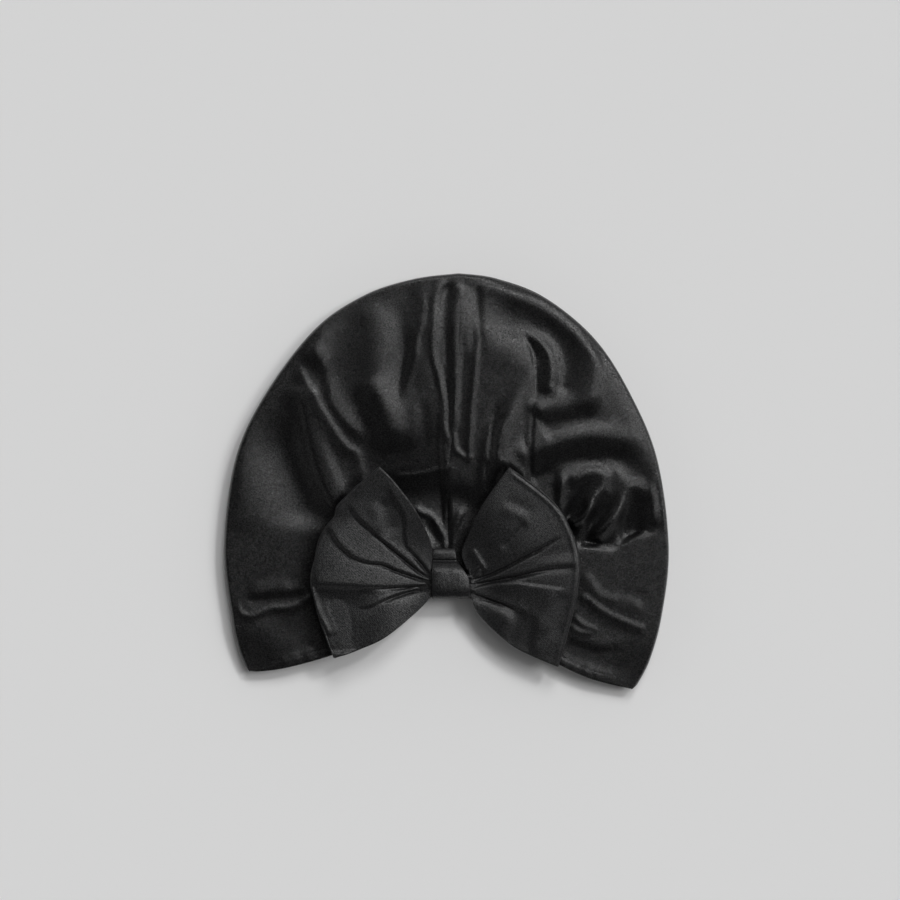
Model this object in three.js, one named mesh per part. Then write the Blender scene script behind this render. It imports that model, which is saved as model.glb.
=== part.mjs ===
// A satin sleep cap that lies on its back: two crown panels sewn along a centre seam, a loop bow
// and the knot that pinches it. Sizes are millimetres. X runs across the cap, Y from the rim to the
// top of the crown, and Z up from the surface that the cap lies on.
import * as THREE from "three";

// Cloth
const CLOTH = 1.2;
const HEM_WIDTH = 9;
const HEM_EXTRA = 0.7;
const HEM_STEP = 1;
const BOW_CLOTH = 1.3;
const KNOT_CLOTH = 1.3;
const SEAM_GAP = 0.3;
const LIE_GAP = 0.5;

// The crown's section: a rolled side edge, a front that stands above it and a back that lies flat.
const EDGE_HEIGHT = 3.6;
const EDGE_ROLL = 8;
const EDGE_RISE = 6.4;
const BACK_ROLL = 6;
const BACK_RIM_RISE = 7;
const CORNER_TAPER = 34;
const CORNER_STAND = 0.45;
const SEAM_REACH = 0.2;
const SEAM_BEND = { x: -3, y: -15, halfLength: 45 };
const PUFF = { rise: 8.5, x: 0, y: 44, halfWidth: 88, halfLength: 58 };

// The most of a short section that its roll and its hem take.
const ROLL_MOST = 0.6;
const HEM_MOST = 0.3;

// How finely the cloth is faceted.
const COLUMNS = 28;
const LAST_COLUMN = 0.985;
const FRONT_ROWS = 23;
const ROLL_ROWS = 3;
const BACK_ROWS = 3;
const PATH_STEPS = 14;
const BOW_ACROSS = 17;
const BOW_ALONG = 9;
const BOW_ROLL_STEPS = 2;
const KNOT_STEPS = 26;
const KNOT_ACROSS = 4;

// The cap's edge seen from above, from the top of the seam round to a rim corner.
const LEFT_EDGE = [
  { x: 7.5, y: 124.5 },
  { x: -20, y: 121 },
  { x: -50, y: 111 },
  { x: -80, y: 90 },
  { x: -110, y: 50 },
  { x: -127, y: 12 },
  { x: -133.5, y: -40 },
  { x: -129, y: -82 },
  { x: -120, y: -113.5 },
];
const RIGHT_EDGE = [
  { x: 7.5, y: 124.5 },
  { x: 30, y: 121.3 },
  { x: 60, y: 109.3 },
  { x: 90, y: 84 },
  { x: 112, y: 49 },
  { x: 127, y: 11 },
  { x: 133.5, y: -40 },
  { x: 130, y: -80 },
  { x: 113, y: -125 },
];

// The front rim seen from above, from behind the knot out to a rim corner.
const LEFT_RIM = [
  { x: 2.5, y: -66 },
  { x: -9, y: -68.5 },
  { x: -29, y: -84 },
  { x: -48, y: -96 },
  { x: -69, y: -104.8 },
  { x: -95, y: -112 },
  { x: -112, y: -114.3 },
  { x: -120, y: -113.5 },
];
const RIGHT_RIM = [
  { x: 2.5, y: -66 },
  { x: 14, y: -69 },
  { x: 35, y: -88 },
  { x: 50, y: -99 },
  { x: 67, y: -110 },
  { x: 84, y: -118 },
  { x: 100, y: -122.5 },
  { x: 113, y: -125 },
];

// The crown's folds. A fold rises (or, below zero, sinks) along its path and dies away over its two widths,
// which are to the left and to the right of someone who walks the path.
const FOLDS = [
  { name: "left_shoulder", rise: 4, left: 20, right: 14, path: [[-110, 45], [-114, 15], [-113, -22]] },
  { name: "left_valley", rise: -4, left: 8, right: 9, path: [[-97, 56], [-91, 28], [-82, -2], [-72, -22]] },
  { name: "left_crease", rise: 4, left: 4, right: 9, path: [[-89, 72], [-74, 44], [-53, 17], [-49, 0]] },
  { name: "left_trough", rise: -3, left: 5, right: 5, path: [[-83, 75], [-68, 45], [-52, 22]] },
  { name: "left_band", rise: 4, left: 7, right: 5, path: [[-74, 78], [-68, 52], [-46, 26]] },
  { name: "fan_valley", rise: -4.5, left: 8, right: 18, path: [[-24, 114], [-26, 75], [-30, 48]] },
  { name: "fan_crest", rise: 2, left: 8, right: 6, path: [[-14, 114], [-16, 85], [-26, 56]] },
  { name: "seam_left", rise: 3, left: 6, right: 9, path: [[0, 119], [-7, 82], [-1, 45], [1, 26]] },
  { name: "seam_right", rise: 2.5, left: 5, right: 5, path: [[16, 110], [20, 86], [16, 45], [15, 12]] },
  { name: "hook", rise: 4.5, left: 6, right: 9, path: [[28, 89], [48, 81], [50, 64], [30, 36], [26, 8]] },
  { name: "outer_hook", rise: 3.5, left: 8, right: 6, path: [[36, 94], [58, 86], [67, 66], [54, 42]] },
  { name: "shoulder_valley", rise: -4, left: 12, right: 12, path: [[30, 106], [66, 92], [80, 62]] },
  { name: "right_ridge", rise: 4, left: 8, right: 8, path: [[52, 19], [74, 30], [104, 34]] },
  { name: "right_valley", rise: -4, left: 8, right: 7, path: [[58, 8], [82, 17], [114, 10]] },
  { name: "loop", rise: 4, left: 6, right: 6, path: [[68, -8], [76, 4], [94, 7], [96, -3], [80, -22]] },
  { name: "rib", rise: 3, left: 6, right: 6, path: [[109, -2], [102, -20], [85, -36]] },
  { name: "right_shelf", rise: 4, left: 5, right: 10, path: [[80, -39], [101, -41], [126, -26]] },
  { name: "low_ridge", rise: 3, left: 6, right: 7, path: [[82, -69], [102, -81], [119, -88]] },
  { name: "left_shelf", rise: 3.5, left: 5, right: 9, path: [[-125, -76], [-112, -78], [-84, -71]] },
  { name: "tuck_left", rise: 4.5, left: 14, right: 8, path: [[-42, 2], [-10, 6], [1, 8]] },
  { name: "tuck_right", rise: 3.5, left: 12, right: 5, path: [[3, -8], [14, -11], [26, -15]] },
  { name: "gather", rise: 3, left: 6, right: 6, path: [[1, -24], [2, -48]] },
];
const FOLD_END_FADE = 0.22;
const FOLD_CLEAR_OF_BOW = 6;

// The bow's wings seen from above: the lower and upper edges run out from the pinch, and the outer edge
// runs from the lower corner to the upper one.
const LEFT_WING = {
  lower: [{ x: -9.2, y: -68.5 }, { x: -20, y: -80 }, { x: -40, y: -95 }, { x: -68, y: -106.5 }],
  upper: [
    { x: -9.2, y: -53 },
    { x: -9.6, y: -41 },
    { x: -13, y: -29 },
    { x: -20, y: -15.5 },
    { x: -32, y: 0 },
    { x: -41, y: 8 },
  ],
  outer: [
    { x: -68, y: -106.5 },
    { x: -76.5, y: -85 },
    { x: -82, y: -64 },
    { x: -80, y: -43 },
    { x: -74, y: -28 },
    { x: -66, y: -14 },
    { x: -41, y: 8 },
  ],
};
const RIGHT_WING = {
  lower: [{ x: 14.6, y: -68.5 }, { x: 20, y: -80.5 }, { x: 40, y: -98.5 }, { x: 67, y: -111 }],
  upper: [
    { x: 14.6, y: -53 },
    { x: 14.6, y: -41 },
    { x: 16, y: -30 },
    { x: 20, y: -18 },
    { x: 26, y: -8 },
    { x: 38, y: 8 },
  ],
  outer: [
    { x: 67, y: -111 },
    { x: 73.5, y: -88 },
    { x: 79, y: -64 },
    { x: 79.3, y: -46 },
    { x: 74, y: -28 },
    { x: 63, y: -11.5 },
    { x: 38, y: 8 },
  ],
};

// Pleats that run out from the pinch: where each one meets the outer edge, as a share of that edge,
// how deep and how wide it is and how far out it reaches.
const LEFT_PLEATS = [
  { across: 0.2, depth: 2, width: 0.05, reach: 0.7 },
  { across: 0.36, depth: 3.2, width: 0.05, reach: 1 },
  { across: 0.6, depth: 3.2, width: 0.055, reach: 0.95 },
  { across: 0.77, depth: 3, width: 0.05, reach: 0.85 },
  { across: 0.92, depth: 2, width: 0.04, reach: 0.6 },
];
const RIGHT_PLEATS = [
  { across: 0.2, depth: 2.4, width: 0.05, reach: 0.7 },
  { across: 0.44, depth: 3.4, width: 0.05, reach: 0.95 },
  { across: 0.58, depth: 3, width: 0.05, reach: 0.9 },
  { across: 0.78, depth: 2.6, width: 0.055, reach: 0.7 },
];
const PLEAT_START = 0.12;
const PLEAT_HOLD = 0.45;
const PLEAT_MOST = 0.6;

// The loop's opening between its front and back leaves. Its puff follows a stretch of a half wave from
// the pinch to the outer fold, and keeps EDGE_PUFF of its height along the open edges.
const LOOP_OPEN = 0.6;
const LOOP_PUFF = 9;
const PUFF_START = 0.08;
const PUFF_END = 0.84;
const EDGE_PUFF = 0.5;
const LOOP_ROLL = 5;
const WAIST_LIFT = 1.7;
const WAIST_REACH = 0.3;
const BACK_LEAF_INSET = 0.04;

// The knot: a band round the bow's pinch, as wide as KNOT_SPAN, whose section is given from the side.
const KNOT_SPAN = { from: -8.4, to: 13.8 };
const KNOT_SECTION = [
  { y: -70.6, z: 14.5 },
  { y: -69, z: 18.4 },
  { y: -63, z: 19.8 },
  { y: -55, z: 19 },
  { y: -49, z: 15.6 },
  { y: -45.4, z: 12.4 },
  { y: -48, z: 11 },
  { y: -58, z: 11 },
  { y: -68.4, z: 11 },
];

// Black satin, a little lighter on the bow and the knot.
const CROWN_SATIN = { color: 0x18181a, roughness: 0.42, metalness: 0 };
const BOW_SATIN = { color: 0x1b1b1d, roughness: 0.46, metalness: 0 };
const KNOT_SATIN = { color: 0x1d1d1f, roughness: 0.4, metalness: 0 };

// Small helpers
const smooth = (from, to, value) => THREE.MathUtils.smoothstep(value, from, to);
const range = (count) => Array.from({ length: count }, (_, i) => i);
const curveThrough = (rows) => new THREE.SplineCurve(rows.map((row) => new THREE.Vector2(row.x, row.y)));
function piece(name, geometry, finish) {
  const mesh = new THREE.Mesh(geometry, new THREE.MeshStandardMaterial(finish));
  mesh.name = name;
  return mesh;
}

// Height of the crown's smooth front above the surface, without its folds.
function crownTop(x, y) {
  const across = (x - PUFF.x) / PUFF.halfWidth;
  const along = (y - PUFF.y) / PUFF.halfLength;
  return EDGE_HEIGHT + EDGE_RISE + PUFF.rise * Math.exp(-across * across - along * along);
}

// Folds
for (const fold of FOLDS) {
  const points = fold.path.map(([x, y]) => new THREE.Vector2(x, y));
  fold.line = new THREE.SplineCurve(points).getSpacedPoints(PATH_STEPS);
}

// How far along a fold's line a point is, and how far to its left (above zero) or right.
function alongFold(line, point) {
  let nearest = { share: 0, offset: Infinity };
  for (const i of range(line.length - 1)) {
    const run = line[i + 1].clone().sub(line[i]);
    const reach = point.clone().sub(line[i]);
    const part = THREE.MathUtils.clamp(reach.dot(run) / run.lengthSq(), 0, 1);
    const distance = reach.clone().addScaledVector(run, -part).length();
    if (distance < Math.abs(nearest.offset)) {
      nearest = { share: (i + part) / (line.length - 1), offset: distance * (run.cross(reach) < 0 ? -1 : 1) };
    }
  }
  return nearest;
}

function foldHeight(x, y) {
  const point = new THREE.Vector2(x, y);
  let height = 0;
  for (const fold of FOLDS) {
    const { share, offset } = alongFold(fold.line, point);
    const width = offset > 0 ? fold.left : fold.right;
    const fade = smooth(0, FOLD_END_FADE, share) * smooth(0, FOLD_END_FADE, 1 - share);
    height += fold.rise * fade * Math.exp(-((offset / width) ** 2));
  }
  return height * (1 - smooth(-FOLD_CLEAR_OF_BOW, 0, depthUnderBow(point)));
}

// Plan outlines of the two wings and the knot, and how deep inside them a point lies (below zero outside).
function planOf(wing) {
  const edges = [wing.lower, wing.outer, [...wing.upper].reverse()];
  return edges.flatMap((rows) => curveThrough(rows).getSpacedPoints(PATH_STEPS).slice(0, -1));
}
const KNOT_LOW = Math.min(...KNOT_SECTION.map((row) => row.y));
const KNOT_HIGH = Math.max(...KNOT_SECTION.map((row) => row.y));
const KNOT_PLAN = [
  new THREE.Vector2(KNOT_SPAN.from, KNOT_LOW),
  new THREE.Vector2(KNOT_SPAN.to, KNOT_LOW),
  new THREE.Vector2(KNOT_SPAN.to, KNOT_HIGH),
  new THREE.Vector2(KNOT_SPAN.from, KNOT_HIGH),
];
const BOW_PLANS = [planOf(LEFT_WING), planOf(RIGHT_WING), KNOT_PLAN];

function depthInside(plan, point) {
  let inside = false;
  let nearest = Infinity;
  plan.forEach((from, i) => {
    const to = plan[(i + 1) % plan.length];
    const run = to.clone().sub(from);
    const reach = point.clone().sub(from);
    const part = THREE.MathUtils.clamp(reach.dot(run) / run.lengthSq(), 0, 1);
    nearest = Math.min(nearest, reach.clone().addScaledVector(run, -part).length());
    const crosses = from.y > point.y !== to.y > point.y;
    if (crosses && point.x < from.x + (run.x * (point.y - from.y)) / run.y) inside = !inside;
  });
  return inside ? nearest : -nearest;
}

function depthUnderBow(point) {
  return Math.max(...BOW_PLANS.map((plan) => depthInside(plan, point)));
}

// A closed wall between an outer and an inner grid of points. In a closed loop the last row joins the first.
function wall(outer, inner, closedLoop, flipped) {
  const rows = outer.length;
  const columns = outer[0].length;
  const points = [...outer.flat(), ...inner.flat()];
  const at = (row, column, layer) => layer * rows * columns + (row % rows) * columns + column;
  const index = [];
  const quad = (a, b, c, d) => index.push(...(flipped ? [a, c, b, a, d, c] : [a, b, c, a, c, d]));
  for (const i of range(closedLoop ? rows : rows - 1)) {
    for (const j of range(columns - 1)) {
      quad(at(i, j, 0), at(i, j + 1, 0), at(i + 1, j + 1, 0), at(i + 1, j, 0));
      quad(at(i, j, 1), at(i + 1, j, 1), at(i + 1, j + 1, 1), at(i, j + 1, 1));
    }
    quad(at(i, 0, 0), at(i + 1, 0, 0), at(i + 1, 0, 1), at(i, 0, 1));
    const last = columns - 1;
    quad(at(i, last, 0), at(i, last, 1), at(i + 1, last, 1), at(i + 1, last, 0));
  }
  if (!closedLoop) {
    const end = rows - 1;
    for (const j of range(columns - 1)) {
      quad(at(0, j, 0), at(0, j, 1), at(0, j + 1, 1), at(0, j + 1, 0));
      quad(at(end, j, 0), at(end, j + 1, 0), at(end, j + 1, 1), at(end, j, 1));
    }
  }
  const geometry = new THREE.BufferGeometry();
  geometry.setFromPoints(points).setIndex(index);
  geometry.computeVertexNormals();
  return geometry;
}

// Stations of a section that runs from a hem to a rolled edge: how far each one is in from that edge.
function stations(length, roll, flatRows, rollRows, hem) {
  const hemStations = [length, length - hem + HEM_STEP / 2, length - hem - HEM_STEP / 2];
  const start = hemStations.at(-1);
  const flat = range(flatRows).map((i) => start + ((roll - start) * (i + 1)) / flatRows);
  const rolled = range(rollRows).map((i) => roll * (1 - Math.cos((Math.PI / 2) * (1 - (i + 1) / rollRows))));
  return [...hemStations, ...flat, ...rolled];
}

// Share of its full rise that a rolled edge has at a distance in from the edge.
const rolledShare = (inward, roll) => Math.sqrt(Math.max(0, 1 - (1 - Math.min(1, inward / roll)) ** 2));

// How far the centre seam bends to the side at a height of the plan.
const seamBend = (y) => SEAM_BEND.x * Math.exp(-(((y - SEAM_BEND.y) / SEAM_BEND.halfLength) ** 2));

// One column of a crown panel: outer and inner points from the front rim over the side edge to the back rim.
function crownColumn(edge, rim, share, seamShift) {
  const edgePoint = edge.getPointAt(share);
  const rimPoint = rim.getPointAt(share);
  const backPoint = rimPoint.clone().add(new THREE.Vector2(0, BACK_RIM_RISE * (1 - share)));
  const nearSeam = 1 - smooth(0, SEAM_REACH, share);
  const frontLength = rimPoint.distanceTo(edgePoint);
  const backLength = backPoint.distanceTo(edgePoint);
  const taper = smooth(0, CORNER_TAPER, frontLength);
  const stand = EDGE_RISE * (CORNER_STAND + (1 - CORNER_STAND) * taper);
  const frontRoll = Math.min(EDGE_ROLL, ROLL_MOST * frontLength);
  const backRoll = Math.min(BACK_ROLL, ROLL_MOST * backLength);
  const hem = Math.min(HEM_WIDTH, HEM_MOST * frontLength);
  const outer = [];
  const inner = [];
  const place = (inward, length, from, z) => {
    const plan = edgePoint.clone().lerp(from, inward / length);
    return new THREE.Vector3(plan.x + nearSeam * (seamShift + seamBend(plan.y)), plan.y, z);
  };
  for (const inward of stations(frontLength, frontRoll, FRONT_ROWS, ROLL_ROWS, hem)) {
    const plan = edgePoint.clone().lerp(rimPoint, inward / frontLength);
    const rolled = rolledShare(inward, frontRoll);
    const loose = taper * smooth(0, 2 * EDGE_ROLL, inward);
    const relief = loose * (crownTop(plan.x, plan.y) - EDGE_HEIGHT - EDGE_RISE + foldHeight(plan.x, plan.y));
    const hemmed = inward > frontLength - hem ? HEM_EXTRA * taper : 0;
    const insideInward = inward + CLOTH * Math.max(0, 1 - inward / frontRoll);
    outer.push(place(inward, frontLength, rimPoint, EDGE_HEIGHT + stand * rolled + relief));
    const under = EDGE_HEIGHT + (stand - CLOTH) * rolled + relief - hemmed;
    inner.push(place(insideInward, frontLength, rimPoint, under));
  }
  const backStations = stations(backLength, backRoll, BACK_ROWS, ROLL_ROWS, hem).reverse().slice(1);
  for (const inward of backStations) {
    const rolled = rolledShare(inward, backRoll);
    const hemmed = inward > backLength - hem ? HEM_EXTRA * taper : 0;
    const insideInward = inward + CLOTH * Math.max(0, 1 - inward / backRoll);
    outer.push(place(inward, backLength, backPoint, EDGE_HEIGHT * (1 - rolled)));
    const above = EDGE_HEIGHT - (EDGE_HEIGHT - CLOTH) * rolled + hemmed;
    inner.push(place(insideInward, backLength, backPoint, above));
  }
  return { outer, inner };
}

function crownPanel(name, edgeRows, rimRows, side) {
  const edge = curveThrough(edgeRows);
  const rim = curveThrough(rimRows);
  const columns = range(COLUMNS).map((i) => {
    const share = (LAST_COLUMN * i) / (COLUMNS - 1);
    return crownColumn(edge, rim, share, (side * SEAM_GAP) / 2);
  });
  const outer = columns.map((column) => column.outer);
  const inner = columns.map((column) => column.inner);
  return piece(name, wall(outer, inner, false, side > 0), CROWN_SATIN);
}

// A wing of the bow as a patch: along runs out from the pinch, across from the lower edge to the upper.
function wingPatch(wing) {
  const lower = curveThrough(wing.lower);
  const upper = curveThrough(wing.upper);
  const outer = curveThrough(wing.outer);
  const corner = (rows, i) => new THREE.Vector2(rows.at(i).x, rows.at(i).y);
  const pinch = [corner(wing.lower, 0), corner(wing.upper, 0)];
  const tips = [corner(wing.lower, -1), corner(wing.upper, -1)];
  return (along, across) => {
    const edges = lower.getPointAt(along).lerp(upper.getPointAt(along), across);
    const ends = pinch[0].clone().lerp(pinch[1], across).lerp(outer.getPointAt(across), along);
    const flat = pinch[0].clone().lerp(pinch[1], across).lerp(tips[0].clone().lerp(tips[1], across), along);
    return edges.add(ends).sub(flat);
  };
}

function pleatDepth(pleats, along, across) {
  let depth = 0;
  for (const pleat of pleats) {
    const fade = smooth(0, PLEAT_START, along) * (1 - smooth(PLEAT_HOLD * pleat.reach, pleat.reach, along));
    depth += pleat.depth * fade * Math.exp(-(((across - pleat.across) / pleat.width) ** 2));
  }
  return depth;
}

// The stations of one wing's front leaf and back leaf, from the pinch to the outer fold.
function wingLeaves(wing, pleats) {
  const patch = wingPatch(wing);
  const shares = range(BOW_ACROSS).map((j) => j / (BOW_ACROSS - 1));
  const leaf = (front, along, wallDepth) =>
    shares.map((across) => {
      const inset = front ? across : THREE.MathUtils.lerp(BACK_LEAF_INSET, 1 - BACK_LEAF_INSET, across);
      const length = patch(1, inset).distanceTo(patch(0, inset));
      const inward = (1 - along) * length;
      const shift = (wallDepth * Math.max(0, 1 - inward / LOOP_ROLL)) / length;
      const plan = patch(Math.max(0, along - shift), inset);
      const lift = WAIST_LIFT * (1 - smooth(0, WAIST_REACH, along));
      const low = crownTop(plan.x, plan.y) + LIE_GAP + lift;
      const wave = THREE.MathUtils.lerp(PUFF_START, PUFF_END, along);
      const swell = Math.sin(Math.PI * wave) - Math.sin(Math.PI * PUFF_START);
      const crowned = EDGE_PUFF + (1 - EDGE_PUFF) * Math.sin(Math.PI * across);
      const open = LOOP_OPEN + LOOP_PUFF * swell * crowned;
      const pleated = Math.min(PLEAT_MOST * open, pleatDepth(pleats, along, across));
      const high = low + 2 * BOW_CLOTH + open - pleated;
      const middle = (low + high) / 2;
      const half = ((high - low) / 2 - wallDepth) * rolledShare(inward, LOOP_ROLL);
      return new THREE.Vector3(plan.x, plan.y, front ? middle + half : middle - half);
    });
  const length = patch(1, 0.5).distanceTo(patch(0, 0.5));
  const rollStart = 1 - LOOP_ROLL / length;
  const flat = range(BOW_ALONG).map((i) => (rollStart * i) / (BOW_ALONG - 1));
  const rolled = range(BOW_ROLL_STEPS).map((i) => {
    const turn = (Math.PI / 2) * ((i + 1) / (BOW_ROLL_STEPS + 1));
    return 1 - (LOOP_ROLL * (1 - Math.sin(turn))) / length;
  });
  const walk = [...flat, ...rolled];
  const rows = (depth) => ({
    front: walk.map((along) => leaf(true, along, depth)),
    tip: leaf(true, 1, depth),
    back: walk.map((along) => leaf(false, along, depth)),
  });
  return { outer: rows(0), inner: rows(BOW_CLOTH) };
}

// The bow is one closed loop of cloth: from the left tip along the front leaves and through the pinch
// to the right tip, and along the back leaves to the left tip again.
function bow() {
  const left = wingLeaves(LEFT_WING, LEFT_PLEATS);
  const right = wingLeaves(RIGHT_WING, RIGHT_PLEATS);
  const loop = (layer) => [
    left[layer].tip,
    ...[...left[layer].front].reverse(),
    ...right[layer].front,
    right[layer].tip,
    ...[...right[layer].back].reverse(),
    ...left[layer].back,
  ];
  return piece("bow_loop", wall(loop("outer"), loop("inner"), true, true), BOW_SATIN);
}

// The knot's band: its section is walked once round, and the wall stands inwards of it.
function knot() {
  const points = KNOT_SECTION.map((row) => new THREE.Vector3(0, row.y, row.z));
  const section = new THREE.CatmullRomCurve3(points, true);
  const ring = (depth) =>
    range(KNOT_STEPS).map((i) => {
      const share = i / KNOT_STEPS;
      const tangent = section.getTangentAt(share);
      const inward = new THREE.Vector3(0, tangent.z, -tangent.y);
      const point = section.getPointAt(share).addScaledVector(inward, depth);
      return range(KNOT_ACROSS).map((j) => {
        const x = THREE.MathUtils.lerp(KNOT_SPAN.from, KNOT_SPAN.to, j / (KNOT_ACROSS - 1));
        return new THREE.Vector3(x, point.y, point.z);
      });
    });
  return piece("bow_knot", wall(ring(0), ring(KNOT_CLOTH), true, false), KNOT_SATIN);
}

const sleepCap = new THREE.Group();
sleepCap.name = "sleep_cap";
sleepCap.add(
  crownPanel("crown_panel_left", LEFT_EDGE, LEFT_RIM, -1),
  crownPanel("crown_panel_right", RIGHT_EDGE, RIGHT_RIM, 1),
  bow(),
  knot(),
);

export default sleepCap;
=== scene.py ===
"""A black satin sleep cap with a loop bow, lying on its back on a pale surface.

Sizes are millimetres and become metres where a mesh is made. X runs across the cap, Y from the rim to the
top of the crown, and Z up from the surface that the cap lies on.
"""
import math
from collections import namedtuple

import bmesh
import bpy
import numpy as np
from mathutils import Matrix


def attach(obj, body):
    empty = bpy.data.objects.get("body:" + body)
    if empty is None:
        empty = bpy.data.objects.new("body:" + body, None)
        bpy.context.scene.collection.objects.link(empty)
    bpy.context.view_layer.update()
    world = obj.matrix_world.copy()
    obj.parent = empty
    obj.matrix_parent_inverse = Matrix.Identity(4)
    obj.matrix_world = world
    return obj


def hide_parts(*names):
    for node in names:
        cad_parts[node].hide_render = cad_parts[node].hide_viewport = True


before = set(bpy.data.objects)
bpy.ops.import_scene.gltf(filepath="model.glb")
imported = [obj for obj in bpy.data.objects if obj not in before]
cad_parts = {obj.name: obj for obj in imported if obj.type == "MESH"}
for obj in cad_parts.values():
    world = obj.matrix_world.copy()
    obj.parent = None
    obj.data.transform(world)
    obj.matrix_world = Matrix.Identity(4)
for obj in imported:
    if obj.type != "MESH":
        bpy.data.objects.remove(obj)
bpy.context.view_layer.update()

MM = 0.001

# Cloth
CLOTH = 1.2
BOW_CLOTH = 1.3
KNOT_CLOTH = 1.3
SEAM_GAP = 0.04
SEAM_GAP_REACH = 0.02
LIE_GAP = 0.5

# The crown's section: a rolled side edge, a front that stands above it and a back that lies flat. Towards
# the upper right the roll turns into a softer bevel, which grows over the named stretches of X and Y.
EDGE_HEIGHT = 3.6
EDGE_RISE = 6.4
EDGE_ROLL = 2
EDGE_BEVEL = 10
EDGE_BEVEL_SHARE = 0.32
EDGE_BEVEL_FROM_X = (-10, 50)
EDGE_BEVEL_FROM_Y = (-5, 50)
PUFF_FADE = 34
BACK_ROLL = 6
BACK_RIM_RISE = 7
CORNER_TAPER = 34
CORNER_STAND = 0.75
PUFF = {"rise": 4, "x": 12, "y": 50, "half_width": 95, "half_length": 75}

# The cap's edge seen from above, from the top of the seam round to a rim corner.
EDGE = {
    "left": [(7.5, 124.5), (-20, 121), (-50, 111), (-80, 90), (-110, 50), (-127, 12), (-133.5, -40),
             (-129, -82), (-125, -101), (-120, -113.5)],
    "right": [(7.5, 124.5), (30, 121.3), (60, 109.3), (90, 84), (112, 49), (127, 11), (133.5, -40),
              (129.5, -80), (122, -108), (113, -125)],
}

# The front rim seen from above, from behind the knot out to a rim corner.
RIM = {
    "left": [(2.5, -66), (-9, -68.5), (-29, -84), (-48, -96), (-69, -104.8), (-95, -112), (-112, -114.3),
             (-120, -113.5)],
    "right": [(2.5, -66), (14, -69), (35, -88), (50, -99), (67, -110), (84, -118), (100, -122.5),
              (113, -125)],
}

# The centre seam seen from above, from the top of the crown to behind the knot.
SEAM = [(7.5, 124.5), (8, 100), (7.2, 80), (5.8, 60), (4.6, 42), (3.4, 27), (1.8, 12), (1, -5), (0.8, -30),
        (2.5, -66)]
SEAM_REACH = 0.2

# Seam and hem
SEAM_DIP = 0.2
SEAM_WIDTH = 0.8
SEAM_FADE = 4
HEM_WIDTH = 10
HEM_STEP = 1
HEM_EXTRA = 0.7
FRONT_RIM_BULGE = 0.5
BACK_RIM_BULGE = 0.4
RIM_ROUND = 0.7
RIM_ROUND_WIDTH = 1.2
STITCH_INSET = 5.2
STITCH_DIP = 0.12
STITCH_DIP_WIDTH = 0.9
PUCKER_RISE = 0.08
PUCKER_WIDTH = 4.5
PUCKER_WAVES = [{"pitch": 7.5, "share": 1, "phase": 0}, {"pitch": 12.75, "share": 0.6, "phase": 1}]
STITCH_PITCH = 2.9
STITCH_LENGTH = 2.1
STITCH_RADIUS = 0.22
STITCH_SINK = 0.6
STITCH_END = 0.02
STITCH_SPAN = (0.06, 0.97)
STITCH_SIDES = 8
STITCH_RINGS = 7
SHARP_ANGLE = math.radians(55)

# How finely the cloth is meshed. The inner skin takes every second row and column.
COLUMNS = 281
LAST_COLUMN = 0.99
RIM_STATIONS = (0, 0.15, 0.5, 1.0)
RIM_STATION_MOST = 0.02
FRONT_ROWS = 212
ROLL_ROWS = 11
ROLL_ZONE = 12
ROLL_MOST = 0.6
BACK_ROWS = 18
INNER_STEP = 2
SPLINE_STEPS = 40
PATH_STEPS = 48
OUTLINE_STEPS = 160
MAP_STEP = 0.5
CROWN_MAP = ((-140, -130), (140, 130))
BOW_MAP = ((-90, -118), (88, 16))
CROWN_SOFTNESS = 0.6
BOW_SOFTNESS = 0.35

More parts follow.
